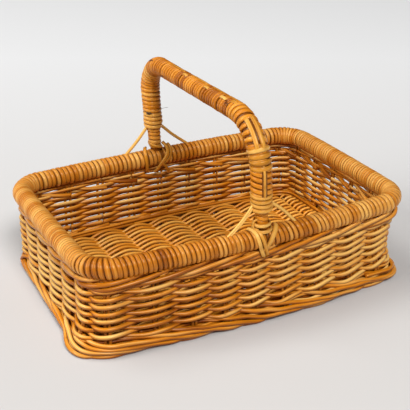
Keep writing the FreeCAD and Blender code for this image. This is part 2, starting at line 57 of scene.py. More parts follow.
def corner_arc(corner_radius):
    """Centre of the back right corner arc and the half turns of the sides that meet it.

    The centre lies a side radius less a corner radius away from the centres of both side arcs.
    """
    from_long = long_side_radius - corner_radius
    from_short = short_side_radius - corner_radius
    long_centre = np.array([0, side_y])
    between = np.array([side_x, 0]) - long_centre
    spread = np.hypot(*between)
    unit = between / spread
    reach = (from_long ** 2 - from_short ** 2 + spread ** 2) / (2 * spread)
    aside = np.sqrt(from_long ** 2 - reach ** 2)
    centre = long_centre + unit * reach + np.array([unit[1], -unit[0]]) * aside
    return centre, np.arcsin(centre[0] / from_long), np.arcsin(centre[1] / from_short)


def plan_outline(corner_radius):
    """Nine tangent arcs of the plan, anticlockwise from the middle of the front, and the lengths up to their ends.

    Columns of the arcs: centre x and y, radius, first and last angle.
    """
    (x, y), long_turn, short_turn = corner_arc(corner_radius)
    angles = np.array([
        -quarter, long_turn - quarter, -short_turn, short_turn, quarter - long_turn, quarter + long_turn,
        2 * quarter - short_turn, 2 * quarter + short_turn, 3 * quarter - long_turn, 3 * quarter])
    half = np.array([(0, -side_y, long_side_radius), (x, -y, corner_radius), (side_x, 0, short_side_radius),
                     (x, y, corner_radius)])
    circles = np.concatenate([half, half * (-1, -1, 1), half[:1]])
    arcs = np.column_stack([circles, angles[:-1], angles[1:]])
    return arcs, np.cumsum(arcs[:, 2] * (arcs[:, 4] - arcs[:, 3]))


def follow(outline, place):
    """Point of an outline and its outward direction, at a place counted in stakes round the wall.

    The distance along the outline picks one of its arcs, and the rest of it is the angle on that arc.
    """
    arcs, ends = outline
    distance = np.mod(place, stake_places) * ends[-1] / stake_places
    arc = np.minimum(np.searchsorted(ends, distance), len(ends) - 1)
    centre_x, centre_y, radius, _, last = np.moveaxis(arcs[arc], -1, 0)
    angle = last - (ends[arc] - distance) / radius
    outward = np.stack([np.cos(angle), np.sin(angle), np.zeros_like(angle)], -1)
    point = np.stack([centre_x, centre_y, np.zeros_like(angle)], -1) + outward * radius[..., None]
    return point, outward


wall_outline = plan_outline(wall_corner)
wall_length = wall_outline[1][-1]
place_length = wall_length / stake_places
(corner_x, corner_y), _, _ = corner_arc(wall_corner)


def wander(rods, where, wave):
    """Slow wandering of hand-worked rods along them: three sines of falling length, each rod with its own phases."""
    phases = rng.uniform(0, 2 * np.pi, (3, rods, 1))
    waves = [np.sin(2 * np.pi * where * 1.7 ** step / wave + phases[step]) * 0.6 ** step for step in range(3)]
    return sum(waves) / 1.4


def each_rod(low, high, rods):
    """One value for each rod, as a column, spread evenly between two limits."""
    return rng.uniform(low, high, (rods, 1))


def round_section(sides):
    """Unit circle as a closed section, from the side that faces away."""
    angle = 2 * np.pi * np.arange(sides) / sides - quarter
    return np.stack([np.cos(angle), np.sin(angle)], -1)


def carry(section, line, facing, half_breadth, thickness, tone):
    """Canes as rings: a section carried along each line of an array (rods, points, 3).

    Ring point = line + half_breadth * x * side + thickness * y * face. Face is the facing direction made
    square to the line, and side is square to both. Run is the length along the cane from its start.
    """
    step = np.gradient(line, axis=1)
    along = step / np.linalg.norm(step, axis=-1, keepdims=True)
    side = np.cross(along, np.broadcast_to(facing, line.shape))
    side /= np.linalg.norm(side, axis=-1, keepdims=True)
    face = np.cross(side, along)
    breadth = np.broadcast_to(half_breadth, line.shape[:2])[..., None, None]
    depth = np.broadcast_to(thickness, line.shape[:2])[..., None, None]
    rings = (line[:, :, None] + breadth * section[:, :1] * side[:, :, None]
             + depth * section[:, 1:] * face[:, :, None])
    lengths = np.linalg.norm(np.diff(line, axis=1), axis=-1)
    run = np.concatenate([np.zeros((len(line), 1)), np.cumsum(lengths, axis=1)], axis=1)
    return rings, run, np.broadcast_to(tone, line.shape[:2])


def round_rods(sides, line, facing, radius, tone):
    """Canes of a round section, carried along their lines."""
    return carry(round_section(sides), line, facing, radius, radius, tone)


def cane_mesh(name, bundles, material):
    """One object from bundles of canes, with quads between rings and a fan of triangles on each end.

    The map "cane" holds metres along the cane and the share of the way round it. The attribute
    "tone" says how pale the cane is, from 0 to 1, and "rod" keeps its first tone along its whole length.
    """
    points, tones, first_tones, quads, fans, quad_maps, fan_maps = ([] for _ in range(7))
    first = 0
    for rings, run, tone in bundles:
        rods, count, sides = rings.shape[:3]
        index = first + np.arange(rods * count * sides).reshape(rods, count, sides)
        centres = first + index.size + np.arange(2 * rods).reshape(2, rods, 1)
        first += index.size + centres.size
        ahead = np.roll(index, -1, axis=2)
        quads.append(np.stack([index[:, :-1], ahead[:, :-1], ahead[:, 1:], index[:, 1:]], -1).reshape(-1, 4))
        for row, middle, start, end in ((0, centres[0], ahead, index), (-1, centres[1], index, ahead)):
            fan = [np.broadcast_to(middle, (rods, sides)), start[:, row], end[:, row]]
            fans.append(np.stack(fan, -1).reshape(-1, 3))
            end_run = np.broadcast_to(run[:, row, None, None], (rods, sides, 3))
            fan_maps.append(np.stack([end_run, np.full_like(end_run, 0.5)], -1).reshape(-1, 2))
        share = np.broadcast_to(np.arange(sides) / sides, (rods, count - 1, sides))
        near, far = (np.broadcast_to(length[..., None], share.shape) for length in (run[:, :-1], run[:, 1:]))
        corners = ((near, share), (near, share + 1 / sides), (far, share + 1 / sides), (far, share))
        quad_maps.append(np.stack([np.stack(corner, -1) for corner in corners], -2).reshape(-1, 2))
        points += [rings.reshape(-1, 3), rings[:, 0].mean(axis=1), rings[:, -1].mean(axis=1)]
        tones += [np.repeat(tone, sides), tone[:, 0], tone[:, -1]]
        first_tones += [np.repeat(tone[:, 0], count * sides), np.tile(tone[:, 0], 2)]
    quads, fans, points = np.concatenate(quads), np.concatenate(fans), np.concatenate(points) * MM
    spots = np.concatenate(quad_maps + fan_maps) * (MM, 1)
    mesh = bpy.data.meshes.new(name)
    mesh.vertices.add(len(points))
    mesh.vertices.foreach_set("co", points.ravel())
    mesh.loops.add(quads.size + fans.size)
    mesh.loops.foreach_set("vertex_index", np.concatenate([quads.ravel(), fans.ravel()]))
    mesh.polygons.add(len(quads) + len(fans))
    starts = np.concatenate([4 * np.arange(len(quads)), quads.size + 3 * np.arange(len(fans))])
    mesh.polygons.foreach_set("loop_start", starts)
    mesh.polygons.foreach_set("use_smooth", np.arange(len(starts)) < len(quads))
    mesh.uv_layers.new(name="cane").data.foreach_set("uv", spots.ravel())
    for attribute, values in (("tone", tones), ("rod", first_tones)):
        mesh.attributes.new(attribute, "FLOAT", "POINT").data.foreach_set("value", np.concatenate(values))
    mesh.update(calc_edges=True)
    mesh.validate()
    piece = bpy.data.objects.new(name, mesh)
    bpy.context.scene.collection.objects.link(piece)
    mesh.materials.append(material)
    return piece


def feed(tree, node, values):
    """Inputs of a node by name or number: a socket is linked, a plain value is set, and None is left alone."""
    for key, value in values.items():
        if isinstance(value, bpy.types.NodeSocket):
            tree.links.new(value, node.inputs[key])
        elif value is not None:
            node.inputs[key].default_value = value


def place_node(tree, kind, *values, **settings):
    """A node with its settings, and with its inputs fed in their order."""
    node = tree.nodes.new(kind)
    for setting, value in settings.items():
        setattr(node, setting, value)
    feed(tree, node, dict(enumerate(values)))
    return node


def change_range(tree, value, *limits):
    """A value moved from between two limits to between two others, and held there."""
    return place_node(tree, "ShaderNodeMapRange", value, *limits).outputs[0]


def blend(tree, share, first, second):
    """Colour between two others, by a share from 0 to 1."""
    mix = place_node(tree, "ShaderNodeMix", data_type="RGBA")
    feed(tree, mix, {0: share, 6: first, 7: second})
    return mix.outputs[2]


def cane_grain_group():
    """Grain of a cane: fibres and stains drawn out along it, dark rings at its growth knots, and painted shade with
    some dirt on its sides away from its top.
    """
    tree = bpy.data.node_groups.new("cane grain", "ShaderNodeTree")
    sockets = (("INPUT", "Float", ("Along", "Around", "Tone", "Rod", "Knot Spacing", "Edge Shade And Dirt", "Top Share")),
               ("INPUT", "Color", ("Deep", "Honey", "Straw")),
               ("OUTPUT", "Color", ("Color",)), ("OUTPUT", "Float", ("Roughness", "Height")))
    for in_out, kind, names in sockets:
        for name in names:
            tree.interface.new_socket(name, in_out=in_out, socket_type="NodeSocket" + kind)
    given = tree.nodes.new("NodeGroupInput").outputs
    along, around, rod, deep = given["Along"], given["Around"], given["Rod"], given["Deep"]

    def sum_up(operation, *values):
        """One sum on sockets and numbers."""
        return place_node(tree, "ShaderNodeMath", *values, operation=operation).outputs[0]

    def grain(per_metre, per_round, per_rod, detail):
        """Noise about zero, drawn out along the cane, that differs from rod to rod."""
        spot = place_node(tree, "ShaderNodeCombineXYZ", sum_up("MULTIPLY", along, per_metre),
                          sum_up("MULTIPLY", around, per_round), sum_up("MULTIPLY", rod, per_rod)).outputs[0]
        noise = place_node(tree, "ShaderNodeTexNoise", spot, None, 1.0, detail, 0.6)
        return sum_up("SUBTRACT", noise.outputs[0], 0.5)

    fibre = grain(20, 13, 41, 4)
    stain = grain(13, 1.3, 93, 2)
    phase = sum_up("ADD", sum_up("DIVIDE", along, given["Knot Spacing"]), sum_up("MULTIPLY", rod, 37))
    ring = change_range(tree, sum_up("PINGPONG", phase, 0.5), 0, 0.014, 1, 0)
    from_top = sum_up("ABSOLUTE", sum_up("SUBTRACT", around, given["Top Share"]))
    # Painted shade with some dirt: the cane darkens towards its sides and underside, away from the share round it that
    # faces up or out.
    shade_and_dirt = sum_up("MULTIPLY", change_range(tree, from_top, 0.1, 0.3, 0, 1), given["Edge Shade And Dirt"])
    paleness = sum_up("MULTIPLY_ADD", fibre, 1.15, sum_up("MULTIPLY_ADD", stain, 1.0, given["Tone"]))
    dark_half = blend(tree, change_range(tree, paleness, 0, 0.5, 0, 1), deep, given["Honey"])
    colour = blend(tree, change_range(tree, paleness, 0.5, 1, 0, 1), dark_half, given["Straw"])
    colour = blend(tree, sum_up("MAXIMUM", sum_up("MULTIPLY", ring, 0.35), shade_and_dirt), colour, deep)
    rough = sum_up("MULTIPLY_ADD", stain, -0.35, sum_up("MULTIPLY_ADD", ring, 0.2, 0.38))
    height = sum_up("MULTIPLY_ADD", ring, -0.5, fibre)
    feed(tree, tree.nodes.new("NodeGroupOutput"), {"Color": colour, "Roughness": rough, "Height": height})
    return tree


cane_grain = cane_grain_group()


def new_material(name):
    """A material with nodes, its node tree and its shader."""
    material = bpy.data.materials.new(name)
    material.use_nodes = True
    return material, material.node_tree, material.node_tree.nodes["Principled BSDF"]


def cane_finish(name, deep, honey, straw, knot_spacing, edge_shade_and_dirt=0.0, gloss=0.2, top_share=0.5):
    """Satin cane that takes its colours from dark to pale, with the grain along it also in relief."""
    material, tree, shader = new_material(name)
    cane_map = place_node(tree, "ShaderNodeUVMap", uv_map="cane").outputs[0]
    spot = place_node(tree, "ShaderNodeSeparateXYZ", cane_map).outputs
    tone, rod = (place_node(tree, "ShaderNodeAttribute", attribute_name=attribute).outputs["Fac"]
                 for attribute in ("tone", "rod"))
    grain = place_node(tree, "ShaderNodeGroup", node_tree=cane_grain)
    feed(tree, grain, {"Along": spot[0], "Around": spot[1], "Tone": tone, "Rod": rod, "Deep": (*deep, 1),
                       "Honey": (*honey, 1), "Straw": (*straw, 1), "Knot Spacing": knot_spacing,
                       "Edge Shade And Dirt": edge_shade_and_dirt, "Top Share": top_share})
    bump = place_node(tree, "ShaderNodeBump")
    feed(tree, bump, {"Strength": 0.5, "Distance": 0.0006, "Height": grain.outputs["Height"]})
    feed(tree, shader, {"Base Color": grain.outputs["Color"], "Roughness": grain.outputs["Roughness"],
                        "Normal": bump.outputs["Normal"], "Specular IOR Level": 0.36,
                        "Specular Tint": (1.0, 0.78, 0.45, 1), "Coat Weight": gloss, "Coat Roughness": 0.24})
    return material


def reach_at(away, inset, side_centre, side_radius, corner_away, corner_reach):
    """Distance from a middle line to the wall line moved in by inset, so far along it: on a side or a corner arc."""
    away = np.abs(away)
    on_side = side_centre + np.sqrt((side_radius - inset) ** 2 - away ** 2)
    past_corner = np.clip(away - corner_away, 0, wall_corner - inset)
    on_corner = corner_reach + np.sqrt((wall_corner - inset) ** 2 - past_corner ** 2)
    return np.where(away <= corner_away, on_side, on_corner)


base_rod_cane = cane_finish("base rod cane", (0.24, 0.050, 0.001), (0.69, 0.232, 0.010), (0.90, 0.46, 0.085), 0.25,
                            edge_shade_and_dirt=0.75)
upward = np.array([0.0, 0.0, 1.0])
end_stick = half_length - wall_inset - stick_radius - stick_margin
stick_x = np.concatenate([[-end_stick], follow(wall_outline, np.arange(-4.0, 5.0))[0][:, 0], [end_stick]])
stick_reach = reach_at(np.abs(stick_x) + stick_radius, wall_inset, side_y, long_side_radius, corner_x, corner_y)
stick_y = stick_reach[:, None] * np.linspace(-1, 1, 30)
sticks = len(stick_x)
stick_line = np.stack([
    stick_x[:, None] + 0.5 * wander(sticks, stick_y, 180), stick_y,
    stick_height + 0.25 * wander(sticks, stick_y, 140)], -1)
stick_bundle = carry(round_section(12), stick_line, upward, stick_radius + 0.15 * wander(sticks, stick_y, 90),
                     stick_radius, each_rod(0.25, 0.6, sticks))
base_sticks = cane_mesh("base_sticks_peeled", [stick_bundle], base_rod_cane)
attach(base_sticks, "root")
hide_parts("base_sticks")

row_y = np.linspace(-1, 1, base_rows)[:, None] * base_half_span + rng.normal(0, 0.3, (base_rows, 1))
row_tip = reach_at(np.abs(row_y) + base_rod_radius, wall_inset + row_margin, side_x, short_side_radius,
                   corner_y, corner_x)
row_x = row_tip * np.linspace(-1, 1, row_points)
row_bow = 1 + row_bowing * (1 - (row_x / corner_x) ** 2)
stick_count = np.interp(row_x, stick_x, np.arange(sticks))
over = np.cos(np.pi * (stick_count + np.arange(base_rows)[:, None] + 1))
base_line = np.stack([
    row_x, row_y * row_bow + 0.45 * wander(base_rows, row_x, 120),
    stick_height + base_swing * over + 0.35 * wander(base_rows, row_x, 75)], -1)
base_taper = base_rod_radius * (1.06 - 0.14 * np.linspace(0, 1, row_points)) * each_rod(0.92, 1.06, base_rows)
# Painted light and shade: each rod is a little paler where it rises over a stick and darker where it dips under one.
base_bundle = round_rods(9, base_line, upward, base_taper, each_rod(0.5, 0.92, base_rows) + 0.08 * over)
edge_place = (np.arange(edge_rods) % 4 * stake_places / 4)[:, None] + np.linspace(1, 9, 90)
edge_point, edge_outward = follow(wall_outline, edge_place)
edge_height = np.repeat(edge_heights, 4)[:, None] + 0.4 * wander(edge_rods, edge_place, 6)
edge_line = edge_point - edge_outward * edge_inset + edge_height[..., None] * upward
edge_bundle = round_rods(9, edge_line, upward, base_rod_radius, each_rod(0.15, 0.5, edge_rods))
base_weave = cane_mesh("base_weave", [base_bundle, edge_bundle], base_rod_cane)
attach(base_weave, "root")
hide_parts("base_weavers")

# Stakes. A pair of thin upright rods stands at each of 30 places round the wall, pushed in beside the base, and
# their tops are bent over along the wall under the rim. The basket is hand-made and uneven: its back dips, its
# foot spreads, its front right corner has a waist, and some stakes stand out of their even places.
stake_radius, pair_gap, pair_spread = 1.75, 4.0, 4.5
stake_low, stake_high, bent_height, bent_radius = 5.0, 91.0, 90.0, 2.3
back_dip, corner_waist, waist_height = 3.0, 8.0, 85.0
left_spread, front_spread, corner_spread, spread_height = 6.5, 9.0, 10.0, 34.0
rim_height, rim_corner, blend_height = 102.7, 36.0, 72.0
corner_places = (4.6, 10.4, 19.6, 25.4)
rim_outline = plan_outline(rim_corner)


def bell(place, middle, width):
    """Bell curve along the wall: 1 at its middle place, and falling off over so many places on both sides."""
    gap = np.mod(place - middle + stake_places / 2, stake_places) - stake_places / 2
    return np.exp(-(gap / width) ** 2)


def at_corners(place, width):
    """How near a place is to one of the four corners, from 0 to 1, as the sum of a bell curve at each."""
    return sum(bell(place, corner, width) for corner in corner_places)


def stand(place, out, height):
    """Points at a place round the wall, so far outside the stakes' line and so high, with the basket's unevenness.

    The plan changes near the top from the wall's tight corners to the rim's. Some stakes stand beside their even
    places. The dip of the back grows with height, and the spread of the foot fades with it.
    """
    place, out, height = np.broadcast_arrays(place, out, height)
    near_rim = np.clip((height - blend_height) / (rim_height - blend_height), 0, 1)
    astray = (0.29 * bell(place, 0.9, 1.8) + 0.36 * bell(place, 26.0, 0.75) + 0.4 * bell(place, 11.0, 0.6)
              - 0.15 * bell(place, 18.2, 1.2))
    settled = place - astray * (1 - near_rim)
    wall_point, outward = follow(wall_outline, settled)
    point = wall_point + (follow(rim_outline, settled)[0] - wall_point) * near_rim[..., None]
    lift = -back_dip * bell(place, 15.0, 5.5) * height / rim_height
    near_ground = np.clip(1 - height / spread_height, 0, 1)
    spread = (left_spread * bell(place, 24.6, 3.2) + corner_spread * bell(place, 25.0, 0.7)
              + front_spread * bell(place, 1.8, 4.0)) * near_ground
    up_share = np.clip(height / waist_height, 0, 1)
    waist = corner_waist * bell(place, 5.0, 1.4) * 4 * up_share * (1 - up_share)
    return point + outward * (out + spread - waist)[..., None] + (height + lift)[..., None] * upward, outward


stake_cane = cane_finish("stake cane", (0.15, 0.034, 0.002), (0.42, 0.128, 0.007), (0.64, 0.28, 0.045), 0.2)
stakes = 2 * stake_places
pair_number, pair_side = np.arange(stakes) // 2, np.arange(stakes) % 2 - 0.5
pair_room = pair_gap + pair_spread * rng.uniform(0, 1, stake_places) ** 2 * bell(np.arange(stake_places), 15, 6)
stake_place = (pair_number + pair_side * pair_room[pair_number] / place_length)[:, None]
stake_z = np.linspace(stake_low, stake_high, 16)[None]
stake_sway = 0.35 * wander(stakes, stake_z, 110) / place_length
stake_line, stake_outward = stand(stake_place + stake_sway, 0.25 * wander(stakes, stake_z, 90), stake_z)
stake_bundle = round_rods(9, stake_line, stake_outward, stake_radius, each_rod(0.15, 0.6, stakes))
bent_place = np.arange(0, stake_places, 5)[:, None] + np.linspace(0.1, 5.4, 60)
bent_line, _ = stand(bent_place, 0.8 * wander(len(bent_place), bent_place, 4), bent_height)
bent_bundle = round_rods(9, bent_line, upward, bent_radius, each_rod(0.1, 0.4, len(bent_place)))
stakes_piece = cane_mesh("stake_pairs", [stake_bundle, bent_bundle], stake_cane)
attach(stakes_piece, "root")
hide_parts("stakes_front", "stakes_back", "stakes_left_end", "stakes_right_end")

# Foot and sides. Whole rods run round the wall, outside one pair of stakes and inside the next: four rounds on the
# ground with two plain rods inside them at the front and left, thirteen above the foot's border, and three tight ones
# that close the wall behind the top wale. Butt and tip ends meet behind stakes.
weaver_depth, weaver_height, row_pitch, ground_gap, joint_step = 2.3, 2.55, 4.35, 0.1, 8
lining_radius, lining_span, lining_out, lining_heights = 2.3, (20.5, 34.8), [[-5.0], [-9.0]], [[10.5], [9.5]]
# Each round of the foot: its parity, its height, and its shares of the swing and of the thickness
foot_rounds = ((0, 2.8, 0.55, 0.95), (1, 7.2, 0.5, 0.9), (0, 11.8, 0.45, 0.9), (1, 15.9, 0.5, 0.7))
border_high, side_rounds, packed_rounds = 15.8, 13, 9
wale_low = border_high + (side_rounds + 1) * row_pitch
rods_per_round = np.array([8, 8, 6, 8])
weaver_cane = cane_finish("weaver cane", (0.20, 0.036, 0.001), (0.75, 0.250, 0.008), (0.98, 0.58, 0.155), 0.22,
                          edge_shade_and_dirt=0.9)


def at_back(place):
    """1 on the right end and the back, 0 on the front and the left end, with a soft change at the corners between."""
    place = np.mod(place, stake_places)
    return 1 / (1 + np.exp(-3 * (place - 5.0))) / (1 + np.exp(3 * (place - 20.3)))


def swing_at(place):
    """How far strokes swing out and in, in mm: less on the back and right end, least where a corner pulls them."""
    return (4.2 - 1.2 * at_back(place)) * (1 - 0.2 * at_corners(place, 0.7))


def slant_at(place):
    """How far strokes lean up to the right, in mm: most on the right half of the front."""
    return 0.6 + 1.3 * bell(place, 2.4, 2.8)


def paleness_and_painted_light(place):
    """How much paler the wall's rods are than the rest: most on the right half of the front and the left end, darker
    left of the middle of the front. This is partly their uneven colour and partly painted light and shade.
    """
    return (0.38 * bell(place, 3.4, 3.0) + 0.1 * bell(place, 13.0, 4.5) + 0.46 * bell(place, 22.2, 2.1)
            - 0.16 * bell(place, 27.8, 2.4))


def weave_rods(starts, parities, heights, reaches, shares, length):
    """Rods of one length in places: outside and inside by a cosine along the wall, with a slant by its sine.

    Outside strokes sit a little lower than inside ones, and none goes below the ground. Rods are squeezed thinner
    where they cross between stakes. Their tone is raised at their outermost and innermost points, as painted light,
    and lowered where they run inside the front and left end, as painted shade.
    """
    rods = len(starts)
    points = 15 * length + 1
    place = starts + np.linspace(0.02, length - 0.02, points)
    swing = np.pi * (place + parities)
    wave = (np.cos(swing) - 0.06 * np.cos(3 * swing)) / 0.94
    distance = place * place_length
    slant = slant_at(place) * (0.6 * np.sin(swing) + 0.5 * np.sin(2 * swing))
    height = heights + slant - 0.4 * wave + 0.3 * wander(rods, distance, 150)
    taper = np.linspace(1.06, 0.94, points)[None]
    flip = rng.integers(0, 2, (rods, 1))
    uneven = shares * each_rod(0.97, 1.06, rods) * (1 + 0.03 * wander(rods, distance, 45))
    thick = np.where(flip, taper, taper[:, ::-1]) * uneven
    tall = thick * weaver_height * (0.9 + 0.1 * wave ** 2) * (1 + 0.09 * at_back(place))
    deep = thick * (weaver_depth - 0.4 * at_back(place))
    height = np.maximum(height, tall + ground_gap)
    out = reaches * swing_at(place) * wave + 0.3 * wander(rods, distance, 60)
    line, _ = stand(place, out, height)
    # Painted light and shade: paler at the rod's outermost and innermost points, but darker where it runs inside the
    # front and left end.
    painted_bulge_light_and_inner_shade = 0.26 * wave ** 2 * np.where(wave > 0, 1, 1 - 2.6 * (1 - at_back(place)))
    tone = each_rod(0.26, 0.66, rods) + 0.12 * wander(rods, distance, 130) + paleness_and_painted_light(place) + painted_bulge_light_and_inner_shade
    return carry(round_section(10), line, upward, deep, tall, tone)


def round_bundles(rounds):
    """Rods of whole rounds, each given like a round of the foot, with joints that move on."""
    bundles = []
    for length in np.unique(rods_per_round):
        rows = []
        for count, (parity, *others) in enumerate(rounds):
            joints = np.cumsum(rods_per_round) - rods_per_round + joint_step * count + 1 + parity
            rows.extend((joint, parity, *others) for joint in joints[rods_per_round == length])
        bundles.append(weave_rods(*np.array(rows, float).T[..., None], int(length)))
    return bundles


lining_line, _ = stand(np.linspace(*lining_span, 120)[None], lining_out, lining_heights)
lining_bundle = round_rods(9, lining_line, upward, lining_radius, each_rod(0.3, 0.5, len(lining_line)))
foot_round = cane_mesh("foot_round_rods", round_bundles(foot_rounds) + [lining_bundle], weaver_cane)
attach(foot_round, "root")
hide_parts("foot_round")
side_heights = [(count % 2, border_high + count * row_pitch, 1.0, 1.0) for count in range(1, side_rounds + 1)]
behind_wale = [(0, wale_low + 0.4, 0.7, 0.85), (1, wale_low + 5.4, 0.6, 0.75), (0, wale_low + 9.8, 0.5, 0.75)]
side_weave = cane_mesh("side_weave", round_bundles(side_heights + behind_wale), weaver_cane)
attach(side_weave, "root")
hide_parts(*["weave_round_%d" % count for count in range(1, packed_rounds + 1)])

# Foot border and top wale. Long slanting strokes of thicker rod start behind each pair of stakes, pass outside
# the next pairs and end behind another. Those of the foot run down to the ground, those under the rim run up to it.


def smooth_line(knots, count):
    """Smooth line through knots (lines, knots, values): cubics with end slopes from the knots beside them."""
    knots = np.asarray(knots, float)
    padded = np.concatenate([2 * knots[:, :1] - knots[:, 1:2], knots, 2 * knots[:, -1:] - knots[:, -2:-1]], axis=1)
    share = np.linspace(0, knots.shape[1] - 1 - 1e-9, count)
    span = share.astype(int)
    t = (share - span)[None, :, None]
    before, start, end, after = (padded[:, span + shift] for shift in range(4))
    return 0.5 * (2 * start + (end - before) * t + (2 * before - 5 * start + 4 * end - after) * t ** 2
                  + (3 * start - before - 3 * end + after) * t ** 3)


def strokes(first_height, step, passed, tail, fall, radius, bulge, stray):
    """One stroke from each place: out by a half cosine, bulging past so many pairs, and in by a half cosine.

    It rises or falls by an even step. Its tail runs on inside the wall, and falls back by the square of its length.
    Stray says how uneven strokes are.
    """
    places = np.arange(stake_places, dtype=float)[:, None]
    points = 18 * (passed + 1)
    count = np.linspace(-0.16, passed + 1 + tail, points)[None]
    into = np.clip(count, 0, 1)
    leave = np.clip(passed + 1 - count, 0, 1)
    between = np.clip((count - 1) / (passed - 1), 0, 1)
    place = places + count + 0.12 * stray * rng.normal(0, 1, (stake_places, 1))
    swing = -np.cos(np.pi * np.minimum(into, leave)) * swing_at(place) + bulge * np.sin(np.pi * between)
    distance = place * place_length
    back = np.clip(count - passed - 0.6, 0, None)
    height = (first_height + step * count - fall * back ** 2
              + stray * (0.7 * wander(stake_places, distance, 110) + rng.normal(0, 0.5, (stake_places, 1))))
    thick = radius * np.linspace(1.06, 0.84, points) * each_rod(0.9, 1.1, stake_places)
    out = swing + 0.5 * stray * wander(stake_places, distance, 90)
    line, _ = stand(place, out, np.maximum(height, thick + ground_gap))
    tone = each_rod(0.3, 0.74, stake_places) + 0.1 * wander(stake_places, distance, 120) + 0.5 * paleness_and_painted_light(place)
    # Painted shade: a stroke is darker at both its ends, where it goes in behind the stakes.
    tone = tone - 0.5 * np.clip(count - passed - 0.4, 0, 0.6) - 0.5 * np.clip(0.6 - count, 0, 0.6)
    return round_rods(11, line, upward, thick, tone)


# Loose ends of rods, bent back round two corners of the foot, as knots of place, distance out and height
foot_loops = smooth_line([
    ((3.5, 3.5, 15.5), (4.1, 5.0, 14.0), (4.5, 5.0, 12.0), (4.8, 3.5, 14.0), (5.1, 0.0, 19.0)),
    ((3.6, 4.5, 8.0), (4.2, 6.0, 6.0), (4.6, 6.0, 5.0), (4.9, 4.5, 6.5), (5.3, 1.0, 9.0)),
    ((20.7, 0.0, 25.0), (20.3, 5.0, 21.0), (20.1, 6.5, 13.0), (20.4, 5.5, 6.0), (20.9, 3.0, 4.0))], 40)
loop_radius, loop_tones = 2.1, [[0.5], [0.7], [0.35]]
loop_line, _ = stand(*np.moveaxis(foot_loops, -1, 0))
loop_bundle = round_rods(10, loop_line, upward, loop_radius, loop_tones)
foot_strokes = strokes(first_height=19.0, step=-4.6, passed=3, tail=0.13, fall=0.0, radius=2.6, bulge=1.4, stray=1.3)
foot_border = cane_mesh("foot_border_strokes", [foot_strokes, loop_bundle], weaver_cane)
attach(foot_border, "root")
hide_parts("foot_border_sides", "foot_border_corners")
wale_strokes = strokes(first_height=wale_low - 1.5, step=6.8, passed=2, tail=0.15, fall=5.5, radius=2.65, bulge=1.4,
                       stray=0.7)
top_wale = cane_mesh("top_wale_strokes", [wale_strokes], weaver_cane)
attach(top_wale, "root")
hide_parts("top_wale_sides", "top_wale_corners")

# Rim. A bent cane hoop lies on the stakes, bound all round with split cane: half-round turns on the long
# sides, flatter and closer ones on the ends. The binding closes up to the feet of the handle.
rim_outside, rim_filled, under_binding, core_tone = 11.4, 1.05, 0.05, 0.4
rim_length = rim_outline[1][-1]
rim_step = rim_length / stake_places
hoop_cane = cane_finish("hoop cane", (0.10, 0.026, 0.002), (0.22, 0.062, 0.004), (0.34, 0.115, 0.012), 0.2)
rim_cane = cane_finish("rim binding cane", (0.22, 0.046, 0.001), (0.60, 0.196, 0.011), (0.86, 0.46, 0.105), 0.3,
                       edge_shade_and_dirt=0.6, gloss=0.14, top_share=0.44)
half_round = np.array([(-1, -0.1), (-0.98, 0.34), (-0.8, 0.72), (-0.42, 0.95), (0, 1), (0.42, 0.95), (0.8, 0.72),
                       (0.98, 0.34), (1, -0.1)])
# Places round the rim where its binding changes, with the pitch and the height of the turns there
rim_changes = np.array([0, 0.9, 0.96, 1.5, 1.56, 4.2, 5.2, 9.8, 10.8, 15, 19.2, 20.2, 24.8, 25.6, 30])
rim_pitches = np.array([5.3, 5.3, 5.9, 5.9, 5.3, 5.5, 4.3, 4.4, 5.6, 6.0, 6.0, 4.5, 4.4, 5.2, 5.1])
rim_domes = np.array([1.8, 1.8, 2.1, 2.1, 1.7, 1.7, 1.0, 1.1, 1.8, 2.1, 2.1, 1.1, 1.1, 2.1, 2.0])


def rim_dome(place):
    """Height of the binding's turns: half-round cane on the long sides, flatter strips on the ends."""
    return np.interp(np.mod(place, stake_places), rim_changes, rim_domes)


hoop_place = np.linspace(0, stake_places, 600)[None]
hoop_line, _ = stand(hoop_place, 0.0, rim_height)
hoop_radius = rim_outside - rim_dome(hoop_place) - under_binding
hoop_bundle = round_rods(16, hoop_line, upward, hoop_radius, core_tone)
rim_hoop = cane_mesh("rim_hoop_cane", [hoop_bundle], hoop_cane)
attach(rim_hoop, "root")
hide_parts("rim_hoop")


def each_turn(low, high, turn):
    """One value for each turn of a winding, running smoothly from one turn to the next."""
    marks = np.arange(np.floor(turn[0]), np.ceil(turn[-1]) + 2)
    return np.interp(turn, marks, rng.uniform(low, high, len(marks)))


